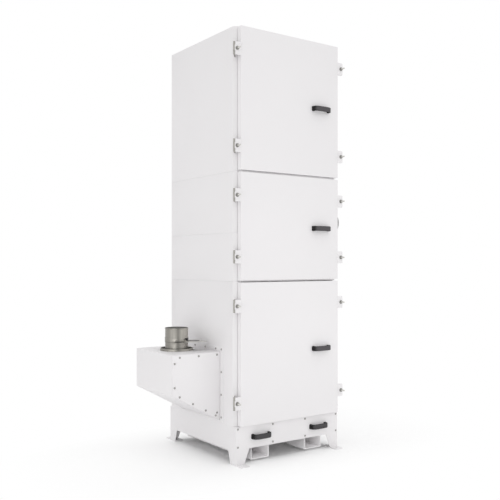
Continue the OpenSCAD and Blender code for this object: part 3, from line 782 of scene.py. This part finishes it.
def paint_shade(mesh, spots):
    """Gives the faces that a test picks, by radius and height on the spigot, a darker and
    rougher zinc: painted shade in the hollows that the test picks."""
    mesh.materials.append(shaded_zinc)
    centres = np.empty(len(mesh.polygons) * 3)
    mesh.polygons.foreach_get("center", centres)
    centres = centres.reshape(-1, 3) - np.asarray(spigot_at)
    picked = spots(np.hypot(centres[:, 0], centres[:, 1]), centres[:, 2])
    mesh.polygons.foreach_set("material_index", picked.astype(int))


def in_dish_or_bore(radius, height):
    """Inside the ring's lip and below it, or inside the pipe."""
    dish = (radius > PIPE_R + 0.1 * MM) & (radius < ring_r - RING_LIP + 0.1 * MM) & (height < RING_H - RING_LIP / 2)
    return dish | (radius < BORE_R + 0.2 * MM)


paint_shade(spun.data, in_dish_or_bore)


# Slide gate. The upper pipe with its bead, rolled lip and ear, the blade that shuts the
# bore and slides out to the front right, and the clamping knob of black plastic.
LIP_H = 6 * MM
LIP_R = 73.6 * MM
KNOB_LOBES = 8
KNOB_LOBE = 0.04
KNOB_WIDER = 1.12
BLADE_TURN = np.radians(-40)
LEVER_L, LEVER_W, LEVER_T, LEVER_UP = 74 * MM, 8 * MM, 3 * MM, 3 * MM
gate = folded("gate_ring", "tower", galvanised, 0.4 * MM)
# Painted shade in the bore of the gate ring.
paint_shade(gate.data, lambda radius, height: radius < BORE_R + 0.2 * MM)
gate_low, gate_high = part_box("gate_ring")
lip = joined(rolled(LIP_R - 1.2 * MM, 1.2 * MM, 1.2 * MM, -90, 0, 4),
             rolled(LIP_R - 2 * MM, LIP_H - 2 * MM, 2 * MM, 0, 90, 5),
             rolled(BORE_R + 1.4 * MM, LIP_H - 1.0 * MM, 1.0 * MM, 90, 180, 4), ((BORE_R + 0.4 * MM,), (0,)))
lip_at = (spigot_at[0], spigot_at[1], gate_high[2] - LIP_H)
ring = turned(*[np.append(run, run[0]) for run in lip], around=96)
fitted("gate_lip", [facing(ring, np.eye(3), lip_at)], "tower", galvanised, 40)
blade_steel = grained("blade_steel", (0.60, 0.59, 0.56), 0.30, metallic=0.9, stretch=(300, 12, 300), grain=0.05)
folded("gate_blade", "slide_gate", blade_steel, 0.3 * MM)


def lobed(angle):
    """Grip of a knob: one plus a small cosine of eight times the angle."""
    return 1 + KNOB_LOBE * np.cos(KNOB_LOBES * angle)


low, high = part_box("gate_knob")
knob_at = ((low[0] + high[0]) / 2, (low[1] + high[1]) / 2, low[2])
knob_r, knob_h = (high[0] - low[0]) / 2 * KNOB_WIDER / (1 + KNOB_LOBE), high[2] - low[2]
knob_profile = ((0, 0), (0.35, 0), (0.35, 0.33), (0.45, 0.34), (0.55, 0.5), (0.9, 0.62), (1, 0.7), (1, 0.92),
                (0.94, 0.98), (0.5, 1), (0, 1))
knob_radii, knob_heights = [knob_r * r for r, h in knob_profile], [knob_h * h for r, h in knob_profile]
gripped = [0.5 < r < 1.1 and h < 0.99 for r, h in knob_profile]
knob = turned(knob_radii, knob_heights, gripped, lobed, 64)
angle = np.linspace(0, 2 * np.pi, 32, endpoint=False)
outline = np.stack([np.cos(angle) * LEVER_W / 2 + LEVER_L * (np.cos(angle) > 0), np.sin(angle) * LEVER_W / 2,
                    0 * angle], axis=-1)
up = np.array([0, 0, LEVER_T])
ends = np.zeros_like(outline) + [LEVER_L / 2, 0, 0]
lever = np.stack([ends, outline, outline + up, ends + up])
c, s = np.cos(BLADE_TURN), np.sin(BLADE_TURN)
lever = facing(lever, np.array([[c, s, 0], [-s, c, 0], [0, 0, 1]]), (knob_at[0], knob_at[1], knob_at[2] + LEVER_UP))
knob = fitted("clamping_knob", [facing(knob, np.eye(3), knob_at), lever], "tower", handle_plastic, 40)
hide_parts("gate_knob")


# Pressure gauge. A round stainless steel case screwed to the right wall, with a white dial
# that has plain ticks and numbers, a needle and a pane of glass held by the bezel.
DIAL_DEPTH = 9 * MM
BEZEL_W = 7 * MM
GLASS_DEPTH = 3 * MM
GLASS_T = 2.5 * MM
TICKS = 51
TICK_FROM, TICK_SWEEP = 225, -270
NUMBERS = ("0", "2", "4", "6", "8", "10")
NUMBER_H = 11 * MM
NEEDLE_AT = 14
low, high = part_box("pressure_gauge")
gauge_at = (low[0], (low[1] + high[1]) / 2, (low[2] + high[2]) / 2)
gauge_r, gauge_d = (high[2] - low[2]) / 2, high[0] - low[0]
body_r, body_d = gauge_r - 10 * MM, gauge_d - 18 * MM
dial_r, dial_z = gauge_r - BEZEL_W, gauge_d - DIAL_DEPTH
shell = joined(((0, body_r, body_r), (0, 0, body_d - 3 * MM)),
               rolled(body_r + 3 * MM, body_d - 3 * MM, 3 * MM, 180, 90, 5),
               rolled(gauge_r - 2 * MM, body_d + 2 * MM, 2 * MM, -90, 0, 5),
               rolled(gauge_r - 1.5 * MM, gauge_d - 1.5 * MM, 1.5 * MM, 0, 90, 7),
               ((dial_r, dial_r, 0), (gauge_d - 1 * MM, dial_z, dial_z)))
gauge_shell = grained("gauge_shell", (0.27, 0.27, 0.27), 0.30, metallic=0.9, stretch=(40, 600, 600), grain=0.05)
housing = fitted("gauge_housing", [facing(turned(*shell, around=96), TO_RIGHT, gauge_at)],
                 "tower", gauge_shell, 30)
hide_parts("pressure_gauge")
dial_enamel = grained("dial_enamel", (0.80, 0.80, 0.78), 0.45, stretch=(400, 400, 400), grain=0.05, swing=0.02)
face_z = dial_z + 0.4 * MM
dial = turned([0, dial_r - 0.2 * MM, dial_r - 0.2 * MM, 0], [face_z, face_z, dial_z, dial_z], around=96)
fitted("gauge_dial", [facing(dial, TO_RIGHT, gauge_at)], "tower", dial_enamel, 30)


def marks(radius_in, radius_out, half_in, half_out, angles, thick=0.3 * MM):
    """Flat bars on the dial, one for each angle: a bar runs from the inner to the outer
    radius and narrows from one half width to the other. An (n, 8, 3) array of corners."""
    angle = np.radians(angles)[:, None]
    along = np.array([radius_in, radius_out, radius_out, radius_in] * 2)[None, :]
    across = np.array([-half_in, -half_out, half_out, half_in] * 2)[None, :]
    z = face_z + thick * np.array([0] * 4 + [1] * 4)[None, :] + 0 * angle
    x = along * np.cos(angle) - across * np.sin(angle)
    y = along * np.sin(angle) + across * np.cos(angle)
    return np.stack([x, y, z], axis=-1)


def barred(name, bars, material):
    """One mesh of the flat bars that marks gives, closed on all sides."""
    sides = np.array([[0, 3, 2, 1], [4, 5, 6, 7], [0, 1, 5, 4], [1, 2, 6, 5], [2, 3, 7, 6], [3, 0, 4, 7]])
    faces = (sides[None, :, :] + 8 * np.arange(len(bars))[:, None, None]).reshape(-1, 4)
    mesh = bpy.data.meshes.new(name)
    mesh.from_pydata(facing(bars.reshape(-1, 3), TO_RIGHT, gauge_at).tolist(), [], faces.tolist())
    mesh.materials.append(material)
    piece = bpy.data.objects.new(name, mesh)
    bpy.context.scene.collection.objects.link(piece)
    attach(piece, "tower")


ink = grained("dial_ink", (0.02, 0.02, 0.022), 0.5, stretch=(900, 900, 900), grain=0.05)
fine = TICK_FROM + TICK_SWEEP * np.linspace(0, 1, TICKS)
long_marks = fine[::10]
barred("gauge_ticks", np.concatenate([marks(dial_r - 9 * MM, dial_r - 5 * MM, 0.3 * MM, 0.3 * MM, fine),
                                      marks(dial_r - 14 * MM, dial_r - 5 * MM, 0.7 * MM, 0.7 * MM, long_marks)]), ink)
needle = marks(-14 * MM, dial_r - 11 * MM, 1.8 * MM, 0.5 * MM, fine[NEEDLE_AT:NEEDLE_AT + 1], 1.2 * MM)
barred("gauge_needle", needle, ink)
cap = turned([0, 5 * MM, 5 * MM, 4 * MM, 0], [face_z, face_z, face_z + 2 * MM, face_z + 2.6 * MM, face_z + 2.6 * MM])
fitted("gauge_cap", [facing(cap, TO_RIGHT, gauge_at)], "tower", ink, 30)
digits, digit_faces, start = [], [], 0
for number, angle in zip(NUMBERS, np.radians(long_marks)):
    text = bpy.data.curves.new("number", "FONT")
    text.body, text.size, text.extrude = number, NUMBER_H, 0.15 * MM
    text.align_x, text.align_y = "CENTER", "CENTER"
    cutter = bpy.data.objects.new("number", text)
    flat = bpy.data.meshes.new_from_object(cutter)
    points = np.empty(len(flat.vertices) * 3)
    flat.vertices.foreach_get("co", points)
    middle = np.array([np.cos(angle), np.sin(angle), 0]) * (dial_r - 23 * MM) + np.array([0, 0, face_z + 0.15 * MM])
    digits.append(points.reshape(-1, 3) + middle)
    digit_faces += [[start + corner for corner in polygon.vertices] for polygon in flat.polygons]
    start += len(flat.vertices)
    bpy.data.objects.remove(cutter)
numbers = bpy.data.meshes.new("gauge_numbers")
numbers.from_pydata(facing(np.concatenate(digits), TO_RIGHT, gauge_at).tolist(), [], digit_faces)
numbers.materials.append(ink)
piece = bpy.data.objects.new("gauge_numbers", numbers)
bpy.context.scene.collection.objects.link(piece)
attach(piece, "tower")
pane = bpy.data.materials.new("gauge_glass")
pane.use_nodes = True
pane.node_tree.nodes["Principled BSDF"].inputs["Transmission Weight"].default_value = 1.0
pane.node_tree.nodes["Principled BSDF"].inputs["Roughness"].default_value = 0.02
glass_z = gauge_d - GLASS_DEPTH - GLASS_T
glass_r = dial_r - 0.1 * MM
glass = turned([0, glass_r, glass_r, 0], [glass_z, glass_z, glass_z + GLASS_T, glass_z + GLASS_T], around=96)
fitted("gauge_glass", [facing(glass, TO_RIGHT, gauge_at)], "tower", pane, 30)
